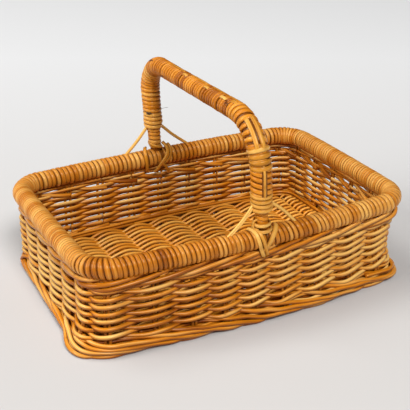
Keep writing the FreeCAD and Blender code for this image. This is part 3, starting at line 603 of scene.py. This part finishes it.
def wind(start, end, axis, tilt, first_angle, tone_low, tone_high):
    """One strip wound round an axis from start to end, 22 points a turn.

    The axis gives, at a distance along it: centre, outward and across directions, radius of the core, height of
    the turns, how sharply the axis curls, pitch, and the share of the pitch that the strip fills. The turns add up
    from the pitch. A strip point = centre + radius * (outward cos + across sin). On the outside of a curl the
    strip is wider by radius * curl, so that the turns stay closed there, and gaps close up on the across side.
    """
    fine = np.linspace(start, end, 3000)
    wound = np.concatenate([[0], np.cumsum(np.diff(fine) / axis((fine[1:] + fine[:-1]) / 2)[6])])
    turns = np.floor(wound[-1])
    turn = np.linspace(0, turns, int(turns * 22) + 1)
    where = np.interp(turn * wound[-1] / turns, wound, fine)
    angle = first_angle - 2 * np.pi * turn
    slid = where + each_turn(-0.1, 0.1, turn) * axis(where)[6] - tilt(where) * np.sin(angle)
    centre, outward, across, core, dome, curl, pitch, filled = axis(slid)
    radial = outward * np.cos(angle)[:, None] + across * np.sin(angle)[:, None]
    line = centre + radial * (core + each_turn(0.0, 0.4, turn))[:, None]
    closed = filled + (1 - filled) * (0.5 + 0.5 * np.sin(angle)) ** 2
    breadth = 0.5 * pitch * closed * (1 + curl * core * np.cos(angle)) * each_turn(0.86, 1.03, turn)
    tone = each_turn(tone_low, tone_high, turn) + 0.06 * wander(1, turn[None], 7)[0]
    height = dome * each_turn(0.85, 1.1, turn)
    return carry(half_round, line[None], radial[None], breadth[None], height[None], tone[None])


def rim_axis(distance):
    """The hoop's line as an axis for a winding, at a distance round the rim."""
    place = distance / rim_step
    point, outward = stand(place, 0.0, rim_height)
    dome = rim_dome(place)
    pitch = np.interp(np.mod(place, stake_places), rim_changes, rim_pitches)
    curl = at_corners(place, 0.62) / rim_corner
    return (point, outward, np.broadcast_to(upward, point.shape), rim_outside - dome, dome, curl, pitch,
            np.full_like(dome, rim_filled))


def rim_tilt(distance):
    """How far the top of a turn leans back along the rim: most on the right half of the front."""
    return 0.3 + 1.9 * bell(distance / rim_step, 1.6, 1.6)


beside_bow = 2.0
halfway = rim_length / 2
# Each strip: the place where it ends, and its darkest and palest turns
right_strips = ((0.93, 0.4, 0.7), (1.53, 0.2, 0.44), (4.5, 0.56, 0.92), (7.4, 0.52, 0.86), (10.2, 0.46, 0.8),
                (12.8, 0.48, 0.8), (15.0, 0.44, 0.78))
left_strips = ((17.6, 0.48, 0.82), (20.0, 0.5, 0.84), (22.6, 0.5, 0.84), (25.2, 0.45, 0.9), (27.4, 0.2, 0.6),
               (30.0, 0.24, 0.7))


def rim_binding(name, strips, start, end):
    """Strips of one half of the rim, end to end, each with its own range of tones."""
    ends = [min(place * rim_step, end) for place, _, _ in strips]
    starts = [start] + ends[:-1]
    bundles = [wind(first, last, rim_axis, rim_tilt, -quarter, low, high)
               for first, last, (_, low, high) in zip(starts, ends, strips)]
    return cane_mesh(name, bundles, rim_cane)


rim_right = rim_binding("rim_binding_right_turns", right_strips, beside_bow, halfway - beside_bow)
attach(rim_right, "root")
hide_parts("rim_binding_right")
rim_left = rim_binding("rim_binding_left_turns", left_strips, halfway + beside_bow, rim_length - beside_bow)
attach(rim_left, "root")
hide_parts("rim_binding_left")

# Handle. One thick cane is bent to a bow, wider at the front than at the back, and stands on the hoop. It is
# bound from foot to foot: flat turns at the feet, thick half-round ones up the legs, close thin ones on the grip.
bow_top, front_bend, back_bend = 231.0, 51.0, 38.0
bow_lean, bow_tilt, core_end = 7.0, 0.5, 3
leg_front, leg_back = bow_top - front_bend - rim_height, bow_top - back_bend - rim_height
grip_span = 2 * half_width - front_bend - back_bend
bow_marks = np.cumsum([0, leg_front, front_bend * quarter, grip_span, back_bend * quarter, leg_back])
bow_drift = np.array([-1.5, -2.0, -3.5, -7.5, -8.0, -4.5])
bow_length = bow_marks[-1]
bow_fine = np.linspace(0, bow_length, 4001)
bow_turned = np.interp(bow_fine, bow_marks, [quarter, quarter, 0, 0, -quarter, -quarter])
bow_step = bow_fine[1]
bow_heading = (bow_turned[1:] + bow_turned[:-1]) / 2
bow_y, bow_z = (start + np.concatenate([[0], np.cumsum(part(bow_heading))]) * bow_step
                for start, part in ((-half_width, np.cos), (rim_height, np.sin)))
rightward = np.array([1.0, 0.0, 0.0])


def bow_line(distance):
    """Bow's middle line and its outward direction, from the front foot.

    The heading turns evenly in each bend, and the line is its sum. The whole bow leans back a little
    with height, and drifts to the left towards the back.
    """
    y = np.interp(distance, bow_fine, bow_y)
    z = np.interp(distance, bow_fine, bow_z)
    heading = np.interp(distance, bow_fine, bow_turned)
    leaned = y + bow_lean * (z - rim_height) / (bow_top - rim_height)
    point = np.stack([np.interp(distance, bow_marks, bow_drift), leaned, z], -1)
    return point, np.stack([np.zeros_like(heading), -np.sin(heading), np.cos(heading)], -1)


# Rows of a table along the bow: distance, then the binding's outside radius, height of turns, pitch and filled share
bow_binding = np.array([
    (0, 7.0, 1.1, 4.8, 1.0), (30, 7.0, 1.1, 4.8, 1.0), (34, 10.4, 1.6, 6.0, 1.05), (51, 10.7, 1.6, 6.2, 1.0),
    (54, 12.0, 2.3, 6.2, 0.95), (79, 12.1, 2.3, 6.4, 0.93), (82, 10.7, 1.6, 6.4, 0.95), (100, 10.7, 1.6, 7.0, 0.9),
    (104, 12.0, 2.5, 7.4, 0.78), (133, 11.6, 2.3, 7.4, 0.8), (137, 11.4, 1.3, 6.0, 1.0), (160, 11.0, 1.4, 5.4, 1.0),
    (166, 10.9, 1.8, 4.7, 1.0), (336, 10.9, 1.8, 4.7, 1.0), (362, 11.6, 1.6, 5.0, 1.08), (398, 12.1, 1.7, 5.2, 1.1),
    (446, 12.2, 1.8, 5.2, 1.1), (453, 8.3, 1.6, 5.2, 1.08), (489, 8.0, 1.6, 5.2, 1.08)]).T
bow_curls = (np.repeat(bow_marks[1:5], 2) + np.tile([-1, 1], 4),
             np.array([0, 1 / front_bend, 1 / front_bend, 0, 0, 1 / back_bend, 1 / back_bend, 0]))


def bow_outside(distance):
    """Outside radius of the bound bow: thin at the feet, thick on the legs, slimmer on the grip."""
    return np.interp(distance, bow_binding[0], bow_binding[1])


def bow_axis(distance):
    """The bow's line as an axis for its binding."""
    point, outward = bow_line(distance)
    outside, dome, pitch, filled = (np.interp(distance, bow_binding[0], row) for row in bow_binding[1:])
    return (point, outward, np.broadcast_to(rightward, point.shape), outside - dome, dome,
            np.interp(distance, *bow_curls), pitch, filled)


handle_cane = cane_finish("handle binding cane", (0.26, 0.056, 0.001), (0.73, 0.250, 0.010), (0.87, 0.49, 0.110), 0.3,
                          edge_shade_and_dirt=0.5, top_share=0.44)
bow_span = np.linspace(core_end, bow_length - core_end, 200)
bow_core_line, bow_core_out = bow_line(bow_span)
bow_core = bow_axis(bow_span)[3] - under_binding
core_bundle = round_rods(16, bow_core_line[None], bow_core_out[None], bow_core[None], core_tone)
handle_bow = cane_mesh("handle_bow_cane", [core_bundle], hoop_cane)
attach(handle_bow, "root")
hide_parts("handle_bow")
above_rim = rim_outside + 0.5
hidden_front, hidden_back = np.radians(150), np.radians(30)
# Each strip: where it starts and ends, the hidden side where it starts, and its darkest and palest turns
bow_strips = ((above_rim, 32, hidden_front, 0.46, 0.72), (30, 136, hidden_front, 0.36, 0.7),
              (137, 160, hidden_front, 0.28, 0.6), (161.6, 181.2, hidden_front, 0.06, 0.62),
              (183, 220, hidden_front, 0.0, 0.62), (222, 272, hidden_front, 0.0, 0.66),
              (273.8, 320, hidden_front, 0.0, 0.62), (321.4, 362, hidden_front, 0.2, 0.6),
              (363, bow_length - above_rim, hidden_back, 0.54, 0.8))
binding_turns = [wind(start, end, bow_axis, lambda distance: bow_tilt, hidden, low, high)
                 for start, end, hidden, low, high in bow_strips]
handle_binding = cane_mesh("handle_binding_turns", binding_turns, handle_cane)
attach(handle_binding, "root")
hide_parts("handle_binding")

# Handle strips. Flat strips of split cane are laid along the front leg and pushed through the splices of the binding
# on top of the grip. Two collars of a few extra turns hold those of the leg.
strip_thickness, strip_step, dive_length, dive_depth, collar_filled = 1.5, 1.2, 4, 3.0, 1.12
flat_strip = np.array([(-1, -0.3), (-0.96, 0.5), (-0.7, 0.93), (0, 1), (0.7, 0.93), (0.96, 0.5), (1, -0.3)])
strip_cane = cane_finish("flat strip cane", (0.14, 0.034, 0.002), (0.64, 0.255, 0.020), (0.86, 0.50, 0.125), 0.3,
                         edge_shade_and_dirt=0.4, gloss=0.14, top_share=0.44)


def lay_strip(start, end, angle, height, half_breadth, tone):
    """Flat strip along the bow, at an angle round it from its outside, that dives under the binding at both ends.

    Its point = middle line + (outward cos + rightward sin) * (outside radius + height), less a square at the ends.
    """
    distance = np.linspace(start, end, int((end - start) / strip_step) + 2)
    point, outward = bow_line(distance)
    radial = outward * np.cos(angle) + rightward * np.sin(angle)
    inside = np.clip(np.minimum(distance - start, end - distance) / dive_length, 0, 1)
    out = bow_outside(distance) + height - dive_depth * (1 - inside) ** 2
    return carry(flat_strip, (point + radial * out[:, None])[None], radial[None], half_breadth, strip_thickness, tone)


# Each strip: start and end along the bow, angle round it in degrees, height, half breadth and tone. Strips of tone 0
# or less are narrow dark strips sunk in the slits and gaps between the binding's parts, as painted shade.
flat_strips = (
    (96, 132, -31, 0.0, 2.6, 0.56), (104, 130, -14, -1.2, 1.6, -0.2), (96, 133, 4, 0.0, 2.8, 0.58),
    (47, 86, -22, -0.6, 0.8, 0.0), (47, 86, -12, -0.3, 1.6, 0.62), (47, 84, -2, -0.6, 0.8, 0.0),
    (151, 163, -16, -0.3, 2.2, 0.62), (171, 184, -26, -0.2, 2.1, 0.78), (211, 223, -22, -0.2, 2.1, 0.74),
    (263, 275, -20, -0.3, 2.0, 0.66), (152, 178, 14, -0.7, 1.7, 0.5), (184, 214, 12, -0.7, 1.7, 0.42),
    (224, 258, 10, -0.7, 1.7, 0.46), (276, 312, 4, -0.7, 1.8, 0.42),
    (160, 170, -46, -0.8, 1.1, -0.3), (163, 173, -34, -0.8, 0.9, -0.2), (161, 167, -58, -0.8, 0.8, -0.2),
    (346, 358, -44, -0.6, 1.1, -0.3), (312, 322, -112, -0.6, 1.4, -0.3))
handle_strips = cane_mesh("handle_flat_strips", [
    lay_strip(start, end, np.radians(turned), height, breadth, tone)
    for start, end, turned, height, breadth, tone in flat_strips], strip_cane)
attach(handle_strips, "root")


def extra_turns(start, end, lift, dome, pitch, tilt, hidden, tone_low, tone_high):
    """A few turns over the binding, with a lift that runs from its start to its end, and a tilt up to the left."""
    def axis(distance):
        """The bow's axis, with the core, height and pitch of these turns."""
        point, outward, across, _, _, curl, _, _ = bow_axis(distance)
        core = bow_outside(distance) + np.interp(distance, (start, end), lift)
        level = np.ones_like(core)
        return point, outward, across, core, dome * level, curl, pitch * level, collar_filled * level
    return wind(start, end, axis, lambda distance: tilt, hidden, tone_low, tone_high)


# Each collar: start and end along the bow, lifts there, height, pitch and tilt of its turns, hidden side, and tones
collar_turns = ((33, 53, (-0.2, -0.2), 1.7, 4.4, -1.0, hidden_front, 0.46, 0.76),
                (80, 103, (-0.2, -0.2), 1.9, 5.0, -1.8, hidden_front, 0.4, 0.7))
collars = cane_mesh("handle_collars", [extra_turns(*turns) for turns in collar_turns], strip_cane)
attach(collars, "root")

# Braces. Thin round canes are pushed under the binding of the legs and of the rim, and stay the handle from swinging
# along the basket. The front left one is doubled. Each bends where it enters the rim.
brace_cane = cane_finish("brace cane", (0.34, 0.100, 0.006), (0.68, 0.29, 0.030), (0.86, 0.51, 0.130), 0.25)
brace_rise, brace_foot, rod_beside, brace_bend = 40.0, 43.0, 1.15, 5.0
beside_leg, above_hoop = 8.5, 8.5
# Each brace: which leg, which side of it, how far it bows up, how far it lies beside its middle line, and its radius
brace_rods = ((0, -1, -1.5, -rod_beside, 1.3), (0, -1, -1.5, rod_beside, 1.25), (0, 1, 2.0, 0.0, 2.0),
              (1, -1, -1.0, 0.0, 2.0), (1, 1, -1.0, 0.0, 2.0))


def brace(back, side, bowed, beside, radius):
    """One brace: a smooth line from inside the leg's binding, through a bowed middle, to its bend into the rim."""
    leg_point = bow_line(np.array([bow_length - brace_rise if back else brace_rise]))[0][0]
    leg_y = half_width if back else -half_width
    top = leg_point + (side * beside_leg, 0, 1)
    low = np.array([leg_point[0] * 0.5 + side * brace_foot, leg_y, rim_height + above_hoop])
    middle = (top + low) / 2 + (side * 0.5 * bowed, 0, bowed)
    tip = low + (side * brace_bend, 0, -brace_bend)
    knots = np.array([top, middle, low, tip]) + beside * np.array([side, 0, 1]) * 0.7
    return round_rods(12, smooth_line(knots[None], 40), np.array([0.0, 1.0, 0.0]), radius, each_rod(0.75, 1.0, 1))


braces = cane_mesh("handle_brace_canes", [brace(*rod) for rod in brace_rods], brace_cane)
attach(braces, "root")
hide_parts("handle_braces")

# Foot lashings. Each foot of the bow is tied to the hoop with flat cane: a few rounds on the leg just above the rim,
# and bands that cross over the rim, outside it at the front and inside it at the back, where they hang down the wall.
band_thickness = 1.4
# Each band of the front: its half breadth and tone, then knots of x, degrees round the rim and radius round the hoop
front_bands = (
    (3.3, 0.72, ((17, 108, 11.5), (15.4, 84, 11.5), (12.5, 61, 11.5), (6.5, 23, 11.6), (1.6, -18, 11.8),
                 (-2.0, -46, 13.8), (-4.6, -62, 16.5))),
    (2.3, 0.8, ((-17, 112, 12.2), (-15.5, 84, 12.2), (-13.5, 54, 12.2), (-11, 1, 12.2), (-8, -38, 12.8),
                (-5.2, -57, 17.6), (-3.2, -67, 20.5))),
    (2.1, 0.6, ((-11.5, 104, 12.4), (-10.4, 78, 12.4), (-8.8, 50, 12.4), (-6.2, 8, 12.4), (-3.2, -30, 13.0),
                (-0.4, -55, 17.0), (1.4, -67, 20.0))))
# Each band of the back: its half breadth and tone, then knots of x, y and z
back_bands = (
    (2.7, 0.55, ((3, 131, 121), (6.7, 126.4, 115.5), (7.2, 123.2, 109), (4, 122, 102), (-3, 122.2, 94),
                 (-8, 123.4, 87.5), (-11.4, 125.6, 83))),
    (1.9, 0.5, ((10, 130.5, 118), (12, 126.4, 113.8), (11.8, 123.2, 107), (9.4, 122.4, 101), (5, 122.8, 96),
                (2, 124.5, 92.5), (0, 127.5, 90))),
    (1.8, 0.4, ((-4, 127, 98), (-1, 123.6, 95), (1.8, 122.4, 91.6), (4, 122.4, 88.5), (6, 122.8, 85.4),
                (8, 123.8, 82), (9.6, 126, 79.5))),
    (2.5, 0.45, ((-20, 135, 115.2), (-23, 129, 113.6), (-24, 124.4, 109), (-23.6, 122.8, 102.5), (-22.4, 123.6, 95),
                 (-21.4, 126, 89), (-21, 129, 85))))
# Turns round the front and the back foot, each like a collar, and a loose loop beside the front one
foot_turns = ((8.0, 21.0, (3.6, 1.0), 2.0, 4.4, -1.6, hidden_front, 0.5, 0.8),
              (bow_length - 18, bow_length - 11, (-0.6, 0.0), 1.4, 4.4, -1.6, hidden_back, 0.3, 0.6))
loose_loop = ((-9, -138, 112), (-12.3, -136.5, 114.6), (-13, -135.4, 119.5), (-11.2, -134.8, 124), (-7, -135.2, 125.4))
loose_radius, loose_tone, band_points = 1.3, 0.7, 44


def band(half_breadth, tone, line, hoop_y):
    """A flat band along a line, facing away from the hoop's line beside it."""
    facing = (line - (0, hoop_y, rim_height)) * (0.4, 1, 1)
    return carry(flat_strip, line, facing, half_breadth, band_thickness, tone)


def over_rim(knots):
    """Line over the rim through knots of x, degrees and radius: the angle runs upwards from the rim's front face."""
    x, turned, radius = np.moveaxis(smooth_line([knots], band_points), -1, 0)
    turned = np.radians(turned)
    return np.stack([x, -half_width - radius * np.cos(turned), rim_height + radius * np.sin(turned)], -1)


lashing_bundles = [band(breadth, tone, over_rim(knots), -half_width) for breadth, tone, knots in front_bands]
lashing_bundles += [band(breadth, tone, smooth_line([knots], band_points), half_width)
                    for breadth, tone, knots in back_bands]
lashing_bundles += [extra_turns(*turns) for turns in foot_turns]
lashing_bundles += [round_rods(8, smooth_line([loose_loop], 30), upward, loose_radius, loose_tone)]
lashings = cane_mesh("handle_foot_lashings", lashing_bundles, strip_cane)
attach(lashings, "root")

# Knot. The binding of the back leg was spliced with a small dark knot: two crossed loops of fibre, and three stiff
# ends that stand out beside them.
knot_fibre = cane_finish("dark knot fibre", (0.03, 0.012, 0.004), (0.07, 0.028, 0.008), (0.13, 0.055, 0.015), 0.05)
knot_place, knot_turn, knot_sunk = bow_length - 61.0, np.radians(-134), 0.3
knot_middle, knot_outward = bow_line(np.array([knot_place]))
knot_out = (knot_outward * np.cos(knot_turn) + rightward * np.sin(knot_turn))[0]
knot_across = np.cross(upward, knot_out)
knot_base = knot_middle[0] + knot_out * (bow_outside(knot_place) - knot_sunk)


def from_knot(lines):
    """Lines beside the knot, with points given as steps across, up and out."""
    across, up, out = np.moveaxis(np.array(lines), -1, 0)[..., None]
    return knot_base + across * knot_across + up * upward + out * knot_out


knot_loops = smooth_line(from_knot([
    ((-3.4, 0.8, -0.8), (-1.4, 0.9, 0.5), (1.2, -0.6, 0.7), (3.4, 0.4, -1.0)),
    ((-3.0, -1.4, -0.8), (-0.6, -0.8, 0.6), (1.6, 0.9, 0.5), (3.0, -0.6, -1.0))]), 18)
whiskers = smooth_line(from_knot([
    ((8.0, 3.8, -2.5), (13.0, 5.0, -6.0), (18.0, 6.2, -9.5), (22.0, 6.4, -12.5)),
    ((-3.0, 0.5, -0.6), (-5.0, 1.4, -1.2), (-7.2, 1.2, -2.4), (-9.0, -0.6, -3.6)),
    ((-2.6, 0.6, -0.4), (-4.6, 1.9, -0.8), (-6.4, 2.4, -1.8), (-8.2, 1.6, -2.6))]), 18)
knot = cane_mesh("handle_knot", [carry(round_section(8), knot_loops, knot_out, 1.0, 0.8, 0.4),
                                 round_rods(5, whiskers, knot_out, 0.2, 0.6)], knot_fibre)
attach(knot, "root")

# Nails. A steel nail goes from under the hoop into each foot of the bow, where the lashing hides it. The nails are
# shown as the CAD has them, and only get their finish here.
nail_steel, nail_tree, nail_shader = new_material("dull nail steel")
nail_spot = place_node(nail_tree, "ShaderNodeTexCoord").outputs["Object"]
nail_noise = place_node(nail_tree, "ShaderNodeTexNoise", nail_spot, None, 900).outputs[0]
feed(nail_tree, nail_shader, {"Metallic": 1.0, "Base Color": (0.42, 0.40, 0.38, 1),
                              "Roughness": change_range(nail_tree, nail_noise, 0, 1, 0.35, 0.65)})
nail_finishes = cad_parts["handle_nails"].data.materials
nail_finishes.clear()
nail_finishes.append(nail_steel)

# Floor, light and camera. The basket stands on a pale floor that is darker near the camera, under soft lamps from the
# left, from the front near the camera and from behind, and is seen as in the photograph.
floor_size, floor_grey, floor_white = 30.0, (0.60, 0.582, 0.565, 1), (0.805, 0.805, 0.805, 1)
depth_direction, depth_near, depth_far = (0.46, 0.888, 0), -0.1, 0.9
floor_corners = [(x * floor_size, y * floor_size, 0) for x, y in ((-1, -1), (1, -1), (1, 1), (-1, 1))]
floor_mesh = bpy.data.meshes.new("floor")
floor_mesh.from_pydata(floor_corners, [], [(0, 1, 2, 3)])
floor = bpy.data.objects.new("floor", floor_mesh)
bpy.context.scene.collection.objects.link(floor)
floor_paint, floor_tree, floor_shader = new_material("pale floor")
# Painted light: the floor runs from grey near the camera to white far away, for light that falls off towards the front.
floor_spot = place_node(floor_tree, "ShaderNodeTexCoord").outputs["Object"]
floor_depth = place_node(floor_tree, "ShaderNodeVectorMath", floor_spot, depth_direction, operation="DOT_PRODUCT")
floor_share = change_range(floor_tree, floor_depth.outputs["Value"], depth_near, depth_far, 0, 1)
feed(floor_tree, floor_shader, {"Base Color": blend(floor_tree, floor_share, floor_grey, floor_white),
                                "Roughness": 0.9, "Specular IOR Level": 0.1})
floor_mesh.materials.append(floor_paint)

world = bpy.data.worlds.new("studio")
world.use_nodes = True
feed(world.node_tree, world.node_tree.nodes["Background"], {"Color": (1.0, 1.0, 1.0, 1), "Strength": 0.08})
bpy.context.scene.world = world

# Each lamp, a square one turned to the basket: its name, place in metres, breadth and power
lamp_aim = np.array([0, 0, 0.08])
lamps = (("back softbox", (-2.2, 1.8, 5.6), 3.0, 115), ("left softbox", (-6.5, 0.8, 4.0), 4.0, 370),
         ("front softbox", (-0.7, -4.3, 4.8), 2.0, 345))
for name, place, breadth, power in lamps:
    lamp = bpy.data.lights.new(name, "AREA")
    lamp.size, lamp.energy = breadth, power
    light = bpy.data.objects.new(name, lamp)
    back = np.array(place) - lamp_aim
    light.location = place
    light.rotation_euler = (np.arctan2(np.hypot(back[0], back[1]), back[2]), 0, np.arctan2(back[0], -back[1]))
    bpy.context.scene.collection.objects.link(light)

camera_azimuth, camera_elevation = np.radians(-27.37), np.radians(25.28)
camera_distance, camera_aim = 1.1665, np.array([-0.0012, 0.0006, 0.08465])
focal_pixels, frame_pixels = 959.0, 410.0
backward = np.array([np.sin(camera_azimuth) * np.cos(camera_elevation),
                     -np.cos(camera_azimuth) * np.cos(camera_elevation), np.sin(camera_elevation)])
lens = bpy.data.cameras.new("camera")
lens.sensor_width = 36.0
lens.lens = lens.sensor_width * focal_pixels / frame_pixels
camera = bpy.data.objects.new("camera", lens)
camera.location = camera_aim + backward * camera_distance
camera.rotation_euler = (quarter - camera_elevation, 0, camera_azimuth)
bpy.context.scene.collection.objects.link(camera)
bpy.context.scene.camera = camera
bpy.context.scene.view_settings.view_transform = "Standard"
